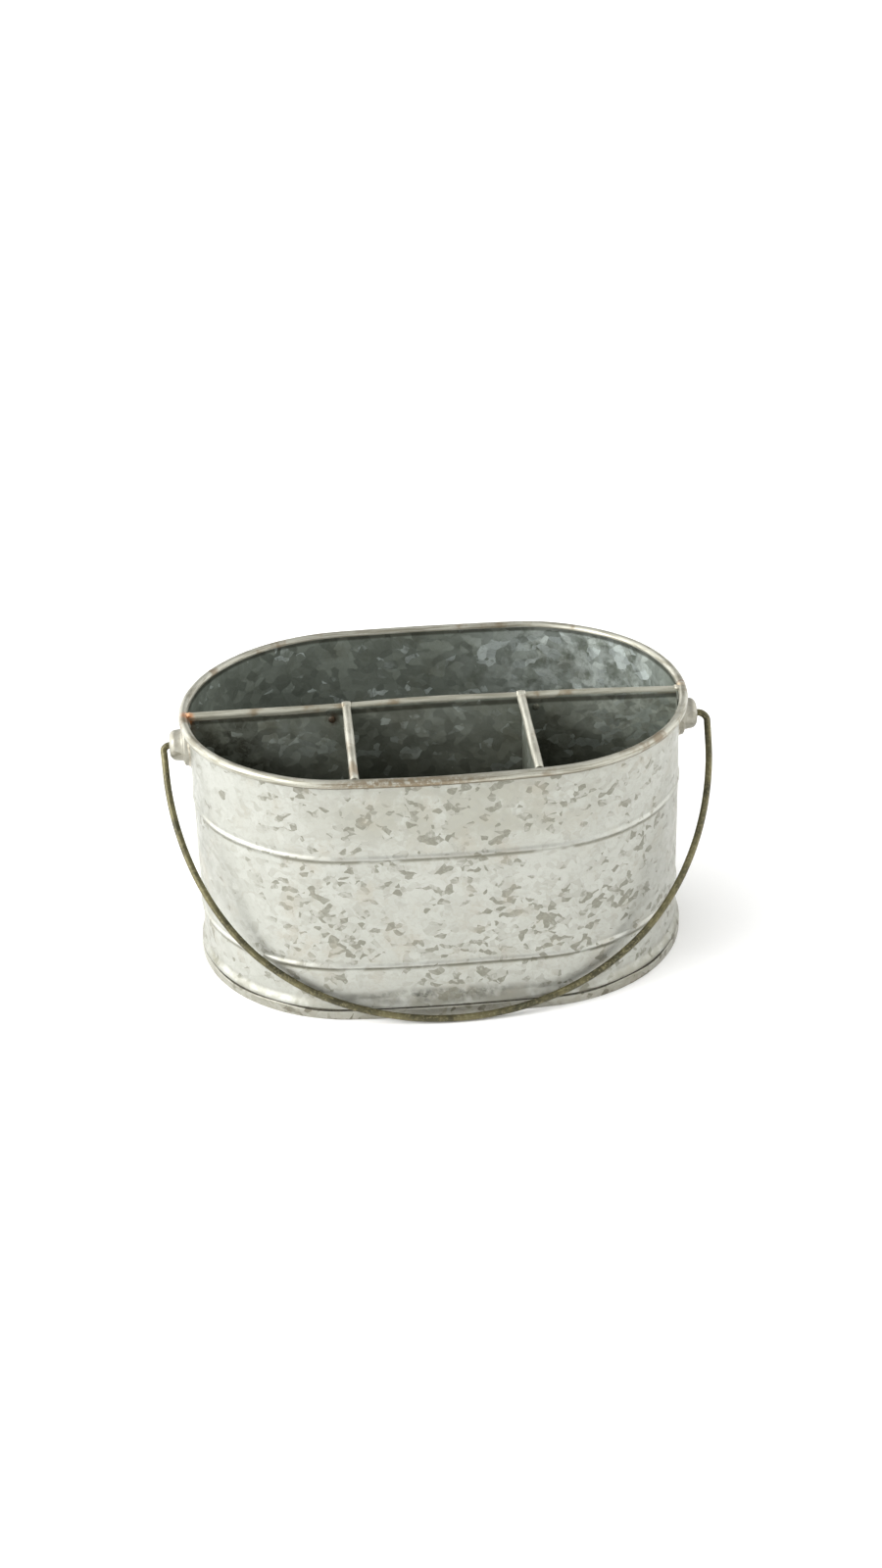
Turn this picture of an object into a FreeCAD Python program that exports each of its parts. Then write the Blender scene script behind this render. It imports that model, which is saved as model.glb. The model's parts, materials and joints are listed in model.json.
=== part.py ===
import FreeCAD, Part
import Sketcher
import math
import os

Vector = FreeCAD.Vector

# Driving dimensions in millimetres (angles in degrees), one spreadsheet cell each.
DIMENSIONS = [
    # The tub: an oval of four arcs, measured on the outside of its wall.
    ("wall_half_length", 147.55),
    ("wall_half_width", 97.5),
    ("wall_end_radius", 95.67),
    ("tub_height", 162.5),
    ("sheet", 0.55),
    # The curled top edge and the wire inside it.
    ("bead_radius", 2.75),
    ("rim_wire_radius", 1.9),
    ("curl_set_in", 0.05),
    # Swaged ribs: height of each middle, half width, shoulder, the share of the depth there, crest, depth.
    ("upper_rib_height", 108.8),
    ("lower_rib_height", 35.3),
    ("rib_half_width", 2.0),
    ("rib_shoulder", 1.3),
    ("rib_shoulder_share", 0.6),
    ("rib_crest", 0.5),
    ("rib_depth", 1.0),
    # The flared foot of the wall and the hem that is folded round it.
    ("flare_top", 11.5),
    ("flare_bottom", 7.4),
    ("flare_lip", 0.45),
    ("flare_width", 2.3),
    ("foot_leg_inner", 0.9),
    ("foot_leg_bottom", 0.75),
    ("hem_height", 6.5),
    ("hem_width", 2.65),
    ("hem_fold", 1.05),
    ("hem_inner", 0.2),
    ("hem_rounding", 0.45),
    ("floor_height", 5.0),
    # Folded seam inside each end of the tub.
    ("seam_width", 6.4),
    ("seam_thickness", 1.1),
    ("seam_bottom", 12.0),
    ("seam_top", 154.0),
    # Dividers.
    ("divider_sheet", 0.6),
    ("long_divider_setback", 4.8),
    ("cross_divider_spacing", 53.3),
    ("divider_drop", 0.5),
    ("divider_roll_radius", 2.3),
    ("cross_roll_radius", 2.6),
    ("flange_width", 12.0),
    ("divider_clearance", 0.05),
    # Rivets that hold the cross dividers to the long one.
    ("rivet_radius", 1.2),
    ("rivet_head_radius", 2.2),
    ("rivet_head_height", 1.0),
    ("rivet_tail_radius", 1.9),
    ("rivet_tail_height", 0.8),
    ("rivet_offset", 8.0),
    ("rivet_top_drop", 9.0),
    ("rivet_bottom_height", 34.0),
    # Ears.
    ("pivot_height", 140.3),
    ("plate_radius", 13.0),
    ("plate_height", 3.4),
    ("plate_sheet", 0.8),
    ("plate_rounding", 1.4),
    ("plate_blank_depth", 4.4),
    ("cup_radius", 10.2),
    ("cup_top_radius", 9.2),
    ("cup_height", 8.3),
    ("cup_sheet", 0.9),
    ("cup_rounding", 4.2),
    ("cup_rounding_share", 0.3),
    ("ear_hole_radius", 2.2),
    # Bail.
    ("bail_wire_radius", 2.1),
    ("bail_half_width", 164.5),
    ("bail_drop", 174.4),
    ("bail_side_radius", 155.0),
    ("bail_bottom_radius", 180.0),
    ("bail_elbow_radius", 4.7),
    ("bail_head_radius", 3.6),
    ("bail_head_length", 1.8),
    ("bail_head_play", 0.5),
    ("bail_floor_gap", 0.1),
]

AXIS_LENGTH = 10

document = FreeCAD.newDocument("divided_caddy")
sheet = document.addObject("Spreadsheet::Sheet", "Sizes")
for row, (name, value) in enumerate(DIMENSIONS, start=1):
    sheet.set("A%d" % row, name)
    sheet.set("B%d" % row, str(value))
    sheet.setAlias("B%d" % row, name)
document.recompute()


class Size:
    """A length worked out from the spreadsheet: its value, and the expression that keeps it current."""

    def __init__(self, value, text):
        self.value = value
        self.text = text

    def joined(self, sign, other, value):
        return Size(value, "(%s %s %s)" % (self.text, sign, as_size(other).text))

    def __add__(self, other):
        return self.joined("+", other, self.value + as_size(other).value)

    def __sub__(self, other):
        return self.joined("-", other, self.value - as_size(other).value)

    def __mul__(self, other):
        return self.joined("*", other, self.value * as_size(other).value)

    def __truediv__(self, other):
        return self.joined("/", other, self.value / as_size(other).value)

    def __neg__(self):
        return Size(-self.value, "(0 - %s)" % self.text)


def as_size(number):
    return number if isinstance(number, Size) else Size(float(number), repr(float(number)))


def cell(name):
    return Size(float(sheet.get(name)), "Sizes.%s" % name)


def root(size):
    return Size(math.sqrt(size.value), "sqrt(%s)" % size.text)


def arc_cosine(size):
    return Size(math.degrees(math.acos(size.value)), "(acos(%s) / 1deg)" % size.text)


def bind(thing, place, size):
    """Binds one property of an object to the spreadsheet."""
    thing.setExpression(place, as_size(size).text)


# Sizes that follow from the driving ones.
half_length = cell("wall_half_length")
half_width = cell("wall_half_width")
end_radius = cell("wall_end_radius")
gauge = cell("sheet")
end_centre = half_length - end_radius
side_centre = (end_centre * end_centre - (half_width - end_radius) * (half_width - end_radius)) / (
    (half_width - end_radius) * 2
)
side_radius = side_centre + half_width
end_angle = arc_cosine(end_centre / (side_radius - end_radius))
side_angle = (as_size(90) - end_angle) * 2
curl_centre_out = cell("bead_radius") - gauge + cell("curl_set_in")
curl_centre_up = cell("tub_height") - cell("bead_radius")
floor_top = cell("floor_height") + gauge
divider_top = cell("tub_height") - cell("divider_drop")
pivot_height = cell("pivot_height")


def new_body(name):
    body = document.addObject("PartDesign::Body", name)
    body.Label = name
    return body


def origin_plane(body, role):
    for feature in body.Origin.OriginFeatures:
        if feature.Role == role:
            return feature
    raise ValueError("no plane " + role)


def new_sketch(body, name, plane):
    sketch = body.newObject("Sketcher::SketchObject", name)
    sketch.AttachmentSupport = [(origin_plane(body, plane), "")]
    sketch.MapMode = "FlatFace"
    return sketch


def fix(sketch, kind, geometry, point, size):
    """Pins one coordinate of a sketch point, measured from the origin."""
    index = sketch.addConstraint(Sketcher.Constraint(kind, -1, 1, geometry, point, size.value))
    bind(sketch, "Constraints[%d]" % index, size)


def fix_point(sketch, geometry, point, across, up):
    """Pins both coordinates of a sketch point."""
    fix(sketch, "DistanceX", geometry, point, across)
    fix(sketch, "DistanceY", geometry, point, up)


def polygon(sketch, corners):
    """A closed loop through (across, up) corners, every corner bound to the spreadsheet."""
    points = [Vector(across.value, up.value, 0) for across, up in corners]
    ends = points[1:] + points[:1]
    lines = [sketch.addGeometry(Part.LineSegment(start, end)) for start, end in zip(points, ends)]
    for line, (across, up) in zip(lines, corners):
        fix_point(sketch, line, 1, across, up)
    for line, following in zip(lines, lines[1:] + lines[:1]):
        sketch.addConstraint(Sketcher.Constraint("Coincident", line, 2, following, 1))


def circle(sketch, across, up, radius):
    centre = Vector(across.value, up.value, 0)
    ring = sketch.addGeometry(Part.Circle(centre, Vector(0, 0, 1), radius.value))
    fix_point(sketch, ring, 3, across, up)
    index = sketch.addConstraint(Sketcher.Constraint("Radius", ring, radius.value))
    bind(sketch, "Constraints[%d]" % index, radius)


def axis_line(sketch, across, up, upright=True):
    """A construction line, upright or level, that a revolution turns about."""
    sideways = 0 if upright else AXIS_LENGTH
    rise = AXIS_LENGTH if upright else 0
    start = Vector(across.value, up.value, 0)
    end = start + Vector(sideways, rise, 0)
    line = sketch.addGeometry(Part.LineSegment(start, end), True)
    fix_point(sketch, line, 1, across, up)
    fix_point(sketch, line, 2, across + sideways, up + rise)
    return (sketch, ["Axis0"])


def pad(body, sketch, length, midplane=False, reverse=False):
    feature = body.newObject("PartDesign::Pad", sketch.Name + "_pad")
    feature.Profile = sketch
    feature.Midplane = midplane
    feature.Reversed = reverse
    bind(feature, "Length", length)
    return feature


def cut_both_ways(body, sketch, reach):
    """Cuts a sketch's outline out of the body for a distance on both sides of its plane."""
    feature = body.newObject("PartDesign::Pocket", sketch.Name + "_cut")
    feature.Profile = sketch
    feature.Midplane = True
    bind(feature, "Length", reach * 2)
    body.Tip = feature


def revolve(body, sketch, axis, angle, midplane=True, reverse=False):
    feature = body.newObject("PartDesign::Revolution", sketch.Name + "_turned")
    feature.Profile = sketch
    feature.ReferenceAxis = axis
    feature.Midplane = midplane
    feature.Reversed = reverse
    bind(feature, "Angle", angle)
    return feature


def mirror(body, features, plane):
    feature = body.newObject("PartDesign::Mirrored", features[0].Name + "_mirrored")
    feature.Originals = features
    feature.MirrorPlane = (origin_plane(body, plane), [""])
    body.Tip = feature
    return feature


def oval_outline(sketch, out):
    """The four tangent arcs of the oval, moved outward from the wall's outside by out."""
    small, large = end_radius + out, side_radius + out
    slope = end_centre / (side_radius - end_radius)
    joint_across = end_centre + small * slope
    joint_up = small * root(as_size(1) - slope * slope)
    turn = end_angle.value
    arcs = [
        (end_centre, as_size(0), small, -turn, turn, joint_across, -joint_up),
        (as_size(0), -side_centre, large, turn, 180 - turn, joint_across, joint_up),
        (-end_centre, as_size(0), small, 180 - turn, 180 + turn, -joint_across, joint_up),
        (as_size(0), side_centre, large, 180 + turn, 360 - turn, -joint_across, -joint_up),
    ]
    drawn = []
    for across, up, radius, start, end, start_across, start_up in arcs:
        whole = Part.Circle(Vector(across.value, up.value, 0), Vector(0, 0, 1), radius.value)
        arc = sketch.addGeometry(Part.ArcOfCircle(whole, math.radians(start), math.radians(end)))
        fix_point(sketch, arc, 1, start_across, start_up)
        index = sketch.addConstraint(Sketcher.Constraint("Radius", arc, radius.value))
        bind(sketch, "Constraints[%d]" % index, radius)
        drawn.append(arc)
    for arc, following in zip(drawn, drawn[1:] + drawn[:1]):
        sketch.addConstraint(Sketcher.Constraint("Coincident", arc, 2, following, 1))


def end_profile(body, name, draw):
    """Draws a wall section at the tub's right end; returns the sketch and its turning axis."""
    sketch = new_sketch(body, name, "XZ_Plane")
    draw(sketch, lambda out: half_length + out)
    return sketch, axis_line(sketch, end_centre, as_size(0))


def side_profile(body, name, draw, front):
    """Draws the same section at the middle of a long side, front or rear."""
    sketch = new_sketch(body, name, "YZ_Plane")
    if front:
        draw(sketch, lambda out: -(half_width + out))
        return sketch, axis_line(sketch, side_centre, as_size(0))
    draw(sketch, lambda out: half_width + out)
    return sketch, axis_line(sketch, -side_centre, as_size(0))


def sweep_ring(body, name, draw):
    """Carries a section all the way round the oval."""
    end_sketch, end_axis = end_profile(body, name + "_end", draw)
    end = revolve(body, end_sketch, end_axis, end_angle * 2)
    side_sketch, side_axis = side_profile(body, name + "_side", draw, True)
    side = revolve(body, side_sketch, side_axis, side_angle)
    document.recompute()
    mirror(body, [side], "XZ_Plane")
    document.recompute()
    mirror(body, [end], "YZ_Plane")


def sweep_half(body, name, draw, front):
    """Carries a section round the front or the rear half of the oval."""
    side_sketch, side_axis = side_profile(body, name + "_side", draw, front)
    revolve(body, side_sketch, side_axis, side_angle)
    end_sketch, end_axis = end_profile(body, name + "_end", draw)
    end = revolve(body, end_sketch, end_axis, end_angle, False, front)
    document.recompute()
    mirror(body, [end], "YZ_Plane")


def draw_wall(sketch, place):
    """The wall in section: a flared foot, then straight sheet with two swaged ribs."""
    leg_inner = cell("foot_leg_inner")
    leg_top = cell("flare_bottom") - cell("flare_lip")
    depth = cell("rib_depth")
    ribs = [cell("lower_rib_height"), cell("upper_rib_height")]
    outside = [
        (leg_inner, cell("foot_leg_bottom")),
        (leg_inner + gauge, cell("foot_leg_bottom")),
        (leg_inner + gauge, leg_top),
        (cell("flare_width"), leg_top),
        (cell("flare_width"), cell("flare_bottom")),
        (as_size(0), cell("flare_top")),
    ]
    inside = [(leg_inner, cell("flare_bottom") + gauge * 2), (-gauge, cell("flare_top"))]
    up_the_rib = [
        (as_size(0), "rib_half_width"),
        (cell("rib_shoulder_share"), "rib_shoulder"),
        (as_size(1), "rib_crest"),
    ]
    for height in ribs:
        for side, steps in ((-1, up_the_rib), (1, up_the_rib[::-1])):
            for share, reach in steps:
                rise = height + cell(reach) * side
                outside.append((depth * share, rise))
                inside.append((depth * share - gauge, rise))
    outside.append((as_size(0), curl_centre_up))
    inside.append((-gauge, curl_centre_up))
    polygon(sketch, [(place(out), up) for out, up in outside + inside[::-1]])


def draw_curl(sketch, place):
    """The rolled top edge: a tube of sheet that stands on the outside of the wall."""
    circle(sketch, place(curl_centre_out), curl_centre_up, cell("bead_radius"))
    circle(sketch, place(curl_centre_out), curl_centre_up, cell("bead_radius") - gauge)


def draw_rim_wire(sketch, place):
    circle(sketch, place(curl_centre_out), curl_centre_up, cell("rim_wire_radius"))


def draw_seam(sketch, place):
    """The folded lock seam that joins the two shells, on the inside of the wall."""
    inner = -gauge - cell("seam_thickness")
    low, high = cell("seam_bottom"), cell("seam_top")
    corners = [(inner, low), (-gauge, low), (-gauge, high), (inner, high)]
    polygon(sketch, [(place(out), up) for out, up in corners])


def draw_hem(sketch, place):
    """The floor's edge folded round the foot of the wall: a standing U that the tub rests on."""
    inner, outer = cell("hem_inner"), cell("hem_width")
    corner, top = cell("hem_rounding"), cell("hem_height")
    outline = [
        (inner, floor_top),
        (inner, corner),
        (inner + corner, as_size(0)),
        (outer - corner, as_size(0)),
        (outer, corner),
        (outer, top - corner),
        (outer - corner, top),
        (outer - cell("hem_fold"), top),
        (outer - cell("hem_fold"), gauge),
        (inner + gauge, gauge),
        (inner + gauge, floor_top),
    ]
    polygon(sketch, [(place(out), up) for out, up in outline])


def make_shell(name, front):
    body = new_body(name)
    sweep_half(body, name + "_sheet", draw_wall, front)
    sweep_half(body, name + "_curl", draw_curl, front)
    return body


def make_rear_wall():
    body = make_shell("rear_wall", False)
    sketch, axis = end_profile(body, "seam", draw_seam)
    fold = revolve(body, sketch, axis, cell("seam_width") / end_radius * (180 / math.pi))
    document.recompute()
    mirror(body, [fold], "YZ_Plane")


def make_rim_wire():
    body = new_body("rim_wire")
    sweep_ring(body, "wire", draw_rim_wire)


def make_floor_pan():
    body = new_body("floor_pan")
    outline = new_sketch(body, "floor_outline", "XY_Plane")
    bind(outline, "AttachmentOffset.Base.z", cell("floor_height"))
    oval_outline(outline, cell("hem_inner") + gauge / 2)
    pad(body, outline, gauge)
    sweep_ring(body, "hem", draw_hem)


def wall_inside_across(back):
    """How far the wall's inner face is from the middle at a given distance from the long axis."""
    radius = end_radius - gauge - cell("divider_clearance")
    return end_centre + root(radius * radius - back * back)


def front_inside_depth(across):
    """How far forward the front wall's inner face is at a given distance from the cross axis."""
    clear = gauge + cell("divider_clearance")
    if across.value > end_centre.value * side_radius.value / (side_radius.value - end_radius.value):
        radius = end_radius - clear
        off = across - end_centre
        return root(radius * radius - off * off)
    radius = side_radius - clear
    return root(radius * radius - across * across) - side_centre


divider_gauge = cell("divider_sheet")
long_rear = cell("long_divider_setback") - divider_gauge / 2
long_front = cell("long_divider_setback") + divider_gauge / 2
divider_base = floor_top + cell("divider_clearance")
rivet_heights = [cell("rivet_bottom_height"), divider_top - cell("rivet_top_drop")]
rivet_across = cell("cross_divider_spacing") + cell("rivet_offset")


def rivet_holes(body, name, sides):
    """Holes across the long divider's plane, cut only near that plane."""
    sketch = new_sketch(body, name, "XZ_Plane")
    for side in sides:
        for height in rivet_heights:
            circle(sketch, rivet_across * side, height, cell("rivet_radius") + cell("divider_clearance"))
    cut_both_ways(body, sketch, long_front + divider_gauge * 3)


def make_long_divider():
    """The lengthwise partition: flanges turn forward along the ends, the top edge rolls back."""
    body = new_body("long_divider")
    plan = new_sketch(body, "long_plan", "XY_Plane")
    bind(plan, "AttachmentOffset.Base.z", divider_base)
    tip = long_rear + cell("flange_width")
    half = [
        (wall_inside_across(long_rear), -long_rear),
        (wall_inside_across(tip), -tip),
        (wall_inside_across(tip) - divider_gauge, -tip),
        (wall_inside_across(long_front) - divider_gauge, -long_front),
    ]
    polygon(plan, half + [(-across, up) for across, up in half[::-1]])
    roll_radius = cell("divider_roll_radius")
    roll_height = divider_top - roll_radius
    roll_line = long_front - cell("curl_set_in") - roll_radius
    pad(body, plan, roll_height - divider_base)
    roll = new_sketch(body, "long_roll", "YZ_Plane")
    circle(roll, -roll_line, roll_height, roll_radius)
    circle(roll, -roll_line, roll_height, roll_radius - divider_gauge)
    pad(body, roll, wall_inside_across(long_front) * 2, True)
    document.recompute()
    rivet_holes(body, "long_rivet_holes", (-1, 1))


def make_cross_divider(name, side):
    """A partition from the long divider to the front wall; its flanges turn away from the middle."""
    body = new_body(name)
    plan = new_sketch(body, name + "_plan", "XY_Plane")
    bind(plan, "AttachmentOffset.Base.z", divider_base)
    spacing = cell("cross_divider_spacing")
    near, far = spacing - divider_gauge / 2, spacing + divider_gauge / 2
    tip = near + cell("flange_width")
    rear = long_front + cell("divider_clearance")
    outline = [
        (near, -rear),
        (tip, -rear),
        (tip, -rear - divider_gauge),
        (far, -rear - divider_gauge),
        (far, divider_gauge - front_inside_depth(far)),
        (tip, divider_gauge - front_inside_depth(tip)),
        (tip, -front_inside_depth(tip)),
        (near, -front_inside_depth(near)),
    ]
    polygon(plan, [(across * side, up) for across, up in outline])
    roll_radius = cell("cross_roll_radius")
    roll_height = divider_top - roll_radius
    pad(body, plan, roll_height - roll_radius + divider_gauge / 2 - divider_base)
    roll = new_sketch(body, name + "_roll", "XZ_Plane")
    bind(roll, "AttachmentOffset.Base.z", rear)
    circle(roll, spacing * side, roll_height, roll_radius)
    circle(roll, spacing * side, roll_height, roll_radius - divider_gauge)
    pad(body, roll, front_inside_depth(spacing + roll_radius) - rear)
    document.recompute()
    rivet_holes(body, name + "_rivet_holes", (side,))


def rivet_part(kind, name, across, start, height, sizes):
    """One turned stretch of a rivet, its axis towards the front of the tub."""
    piece = document.addObject(kind, name)
    for place, size in sizes.items():
        bind(piece, place, size)
    piece.Placement = FreeCAD.Placement(Vector(0, 0, 0), FreeCAD.Rotation(Vector(1, 0, 0), 90))
    bind(piece, "Placement.Base.x", across)
    bind(piece, "Placement.Base.y", -start)
    bind(piece, "Placement.Base.z", height)
    return piece


def make_rivet_pair(name, side):
    """Two rivets with a domed head on the flange and a flattened tail behind the long divider."""
    face = long_front + cell("divider_clearance") + divider_gauge
    shank_radius, head_radius = cell("rivet_radius"), cell("rivet_head_radius")
    tail, head = cell("rivet_tail_height"), cell("rivet_head_height")
    rivets = []
    for index, height in enumerate(rivet_heights):
        label = "%s_%d" % (name, index + 1)
        across = rivet_across * side
        shank_sizes = {"Radius": shank_radius, "Height": face - long_rear + head / 2}
        tail_sizes = {"Radius": cell("rivet_tail_radius"), "Height": tail}
        head_sizes = {"Radius1": head_radius, "Radius2": shank_radius, "Height": head}
        pieces = [
            rivet_part("Part::Cylinder", label + "_shank", across, long_rear, height, shank_sizes),
            rivet_part("Part::Cylinder", label + "_tail", across, long_rear - tail, height, tail_sizes),
            rivet_part("Part::Cone", label + "_head", across, face, height, head_sizes),
        ]
        rivet = document.addObject("Part::MultiFuse", label)
        rivet.Shapes = pieces
        rivets.append(rivet)
    pair = document.addObject("Part::Compound", name)
    pair.Label = name
    pair.Links = rivets


def turned_about_pivot(body, name, section):
    """Turns a section, drawn as (outward from the wall, up from the pivot), about the ear's axis."""
    sketch = new_sketch(body, name, "XZ_Plane")
    polygon(sketch, [(half_length + out, pivot_height + up) for out, up in section])
    axis = axis_line(sketch, half_length, pivot_height, False)
    revolve(body, sketch, axis, as_size(360))


def place_on_end(body, side):
    """The left ear is the right one turned half round the tub's upright axis."""
    angle = 0 if side > 0 else 180
    body.Placement = FreeCAD.Placement(Vector(0, 0, 0), FreeCAD.Rotation(Vector(0, 0, 1), angle))


def make_ear_plate(name, side):
    """A shallow pressed dish whose edge is cut to the curve of the wall."""
    body = new_body(name)
    radius, skin = cell("plate_radius"), cell("plate_sheet")
    top, corner = cell("plate_height"), cell("plate_rounding")
    buried = -cell("plate_blank_depth")
    section = [
        (buried, radius),
        (top - corner, radius),
        (top, radius - corner),
        (top, as_size(0)),
        (top - skin, as_size(0)),
        (top - skin, radius - corner),
        (top - corner, radius - skin),
        (buried, radius - skin),
    ]
    turned_about_pivot(body, name + "_dish", section)
    wall = new_sketch(body, name + "_wall", "XY_Plane")
    circle(wall, end_centre, as_size(0), end_radius + cell("divider_clearance") / 2)
    document.recompute()
    cut_both_ways(body, wall, cell("tub_height"))
    place_on_end(body, side)


def make_ear_cup(name, side):
    """The domed cup on the plate; the bail's end turns in its centre hole."""
    body = new_body(name)
    base, top = cell("plate_height"), cell("plate_height") + cell("cup_height")
    foot, crown = cell("cup_radius"), cell("cup_top_radius")
    skin, corner, hole = cell("cup_sheet"), cell("cup_rounding"), cell("ear_hole_radius")
    bevel = corner * cell("cup_rounding_share")
    section = [
        (base, foot),
        (top - corner, crown),
        (top - bevel, crown - bevel),
        (top, crown - corner),
        (top, hole),
        (top - skin, hole),
        (top - skin, crown - corner),
        (top - corner, crown - skin),
        (base, foot - skin),
    ]
    turned_about_pivot(body, name + "_shell", section)
    place_on_end(body, side)


def bail_circle(body, name, plane, offset, across, up, radius):
    """A round section of the bail on a plane moved off its origin plane."""
    sketch = new_sketch(body, name, plane)
    bind(sketch, "AttachmentOffset.Base.z", offset)
    circle(sketch, across, up, radius)
    return sketch


def make_bail():
    """The wire handle, drawn hanging straight down from the pivot and then leant forward."""
    body = new_body("bail_wire")
    wire = cell("bail_wire_radius")
    width, drop = cell("bail_half_width"), cell("bail_drop")
    side_arc, bottom_arc = cell("bail_side_radius"), cell("bail_bottom_radius")
    elbow = cell("bail_elbow_radius")
    across_gap, radius_gap = width - side_arc, bottom_arc - side_arc
    straight = drop - bottom_arc + root(radius_gap * radius_gap - across_gap * across_gap)
    side_turn = arc_cosine(across_gap / radius_gap)
    bottom_turn = (as_size(90) - side_turn) * 2
    head_face = half_length + cell("plate_height") + cell("cup_height") - cell("cup_sheet")
    head_start = head_face - cell("bail_head_play") - cell("bail_head_length")

    bottom = bail_circle(body, "bail_bottom", "YZ_Plane", as_size(0), as_size(0), -drop, wire)
    bottom_axis = axis_line(bottom, as_size(0), bottom_arc - drop, False)
    revolve(body, bottom, bottom_axis, bottom_turn)

    side = bail_circle(body, "bail_side", "XY_Plane", -straight, width, as_size(0), wire)
    side_axis = axis_line(side, across_gap, as_size(0))
    side_piece = revolve(body, side, side_axis, side_turn, False, False)

    leg = bail_circle(body, "bail_leg", "XY_Plane", -straight, width, as_size(0), wire)
    leg_piece = pad(body, leg, straight - elbow)

    bend = bail_circle(body, "bail_elbow", "XY_Plane", -elbow, width, as_size(0), wire)
    bend_axis = axis_line(bend, width - elbow, as_size(0))
    bend_piece = revolve(body, bend, bend_axis, as_size(90), False, True)

    stub = bail_circle(body, "bail_stub", "YZ_Plane", width - elbow, as_size(0), as_size(0), wire)
    stub_piece = pad(body, stub, width - elbow - head_start, False, True)

    button = cell("bail_head_radius")
    head = bail_circle(body, "bail_head", "YZ_Plane", head_start, as_size(0), as_size(0), button)
    head_piece = pad(body, head, cell("bail_head_length"))
    document.recompute()
    mirror(body, [side_piece, leg_piece, bend_piece, stub_piece, head_piece], "YZ_Plane")

    lean = arc_cosine((pivot_height - wire - cell("bail_floor_gap")) / drop)
    rest = FreeCAD.Rotation(Vector(-1, 0, 0), lean.value)
    body.Placement = FreeCAD.Placement(Vector(0, 0, pivot_height.value), rest)
    bind(body, "Placement.Base.z", pivot_height)
    bind(body, "Placement.Rotation.Angle", lean)


make_shell("front_wall", True)
make_rear_wall()
make_rim_wire()
make_floor_pan()
make_long_divider()
for side_name, side_sign in (("left", -1), ("right", 1)):
    make_cross_divider(side_name + "_cross_divider", side_sign)
    make_rivet_pair(side_name + "_divider_rivets", side_sign)
    make_ear_plate(side_name + "_ear_plate", side_sign)
    make_ear_cup(side_name + "_ear_cup", side_sign)
make_bail()
document.recompute()

broken = [item.Name for item in document.Objects if {"Invalid", "Error"} & set(item.State)]
if broken:
    raise SystemExit("failed objects: " + ", ".join(broken))

NODES = ["front_wall", "rear_wall", "rim_wire", "floor_pan", "long_divider", "bail_wire"]
for side_name in ("left", "right"):
    for piece_name in ("cross_divider", "divider_rivets", "ear_plate", "ear_cup"):
        NODES.append(side_name + "_" + piece_name)

os.makedirs("parts", exist_ok=True)
for node in NODES:
    shape = document.getObject(node).Shape
    if shape.isNull() or not shape.isValid():
        raise SystemExit("bad shape: " + node)
    box = shape.optimalBoundingBox(False)
    low = "(%.2f, %.2f, %.2f)" % (box.XMin, box.YMin, box.ZMin)
    high = "(%.2f, %.2f, %.2f)" % (box.XMax, box.YMax, box.ZMax)
    print("%-22s %d solid(s), %.1f mm3, %s to %s" % (node, len(shape.Solids), shape.Volume, low, high))
    shape.exportStep("parts/%s.step" % node)
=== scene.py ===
import json
import math

import bpy
from mathutils import Matrix, Vector


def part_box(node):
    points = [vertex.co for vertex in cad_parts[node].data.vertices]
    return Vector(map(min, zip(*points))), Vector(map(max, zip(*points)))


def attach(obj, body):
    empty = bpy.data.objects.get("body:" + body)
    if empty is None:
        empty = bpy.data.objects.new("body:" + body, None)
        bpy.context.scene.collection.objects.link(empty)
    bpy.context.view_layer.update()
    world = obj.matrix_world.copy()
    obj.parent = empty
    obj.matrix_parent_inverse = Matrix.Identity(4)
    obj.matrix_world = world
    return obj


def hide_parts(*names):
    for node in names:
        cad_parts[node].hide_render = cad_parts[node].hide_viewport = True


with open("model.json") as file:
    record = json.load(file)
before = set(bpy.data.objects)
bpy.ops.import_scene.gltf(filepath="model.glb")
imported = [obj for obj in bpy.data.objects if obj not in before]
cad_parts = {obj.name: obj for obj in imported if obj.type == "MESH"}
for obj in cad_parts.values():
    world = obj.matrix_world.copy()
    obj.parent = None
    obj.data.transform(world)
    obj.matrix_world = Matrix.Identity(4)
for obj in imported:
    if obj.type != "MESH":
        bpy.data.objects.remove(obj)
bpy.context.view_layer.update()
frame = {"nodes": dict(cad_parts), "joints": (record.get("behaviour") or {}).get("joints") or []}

MM = 0.001

# --- sizes, in millimetres
GAUGE = 0.55
DIVIDER_GAUGE = 0.6
SKIN = DIVIDER_GAUGE / 2
CLEARANCE = 0.05
BEAD = 2.75  # radius of the rim's curl
CURL_OUT = 2.25  # how far its centre stands outside the wall
CURL_STEPS = 26
LEG_POINTS = 6  # points of the wall's section that stand inside the hem
END_RADIUS = 95.67
FLOOR_TOP = 5.55
FLOOR_CROWN = 0.2
FLOOR_WAVE = 0.15
HEM_DRAWN = 2.65  # reach that the hem's section is drawn for, before it is fitted
FLARE = 2.3  # how far the foot stands out
FLARE_STEPS = 12
RIBS = (35.3, 108.8)
RIB_DEPTH = 0.75
RIB_HALF_WIDTH = 1.9
RIB_VALLEY = 0.22  # depth of the slight hollow on each side of a rib
FLANGE = 12.0
FLANGE_BEND = 1.2
LONG_ROLL = 2.3
CROSS_ROLL = 2.6
SETBACK = 4.8  # long divider's middle line, in front of the tub's
BAIL_WIRE = 2.1  # radius, as for the bends below
ELBOW = 4.7
SIDE_ARC = 155.0
BOTTOM_ARC = 180.0
DROP = 174.4  # from the pivot to the bottom of the wire's curve
CUP_SHEET = 0.9
EAR_HOLE = 2.2
HEAD_LENGTH = 1.8
HEAD_GAP = 0.5  # between the bail's head and the cup's inner face


def box_mm(node):
    """A node's lowest and highest corners, in millimetres."""
    low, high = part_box(node)
    return [value / MM for value in low], [value / MM for value in high]


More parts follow.
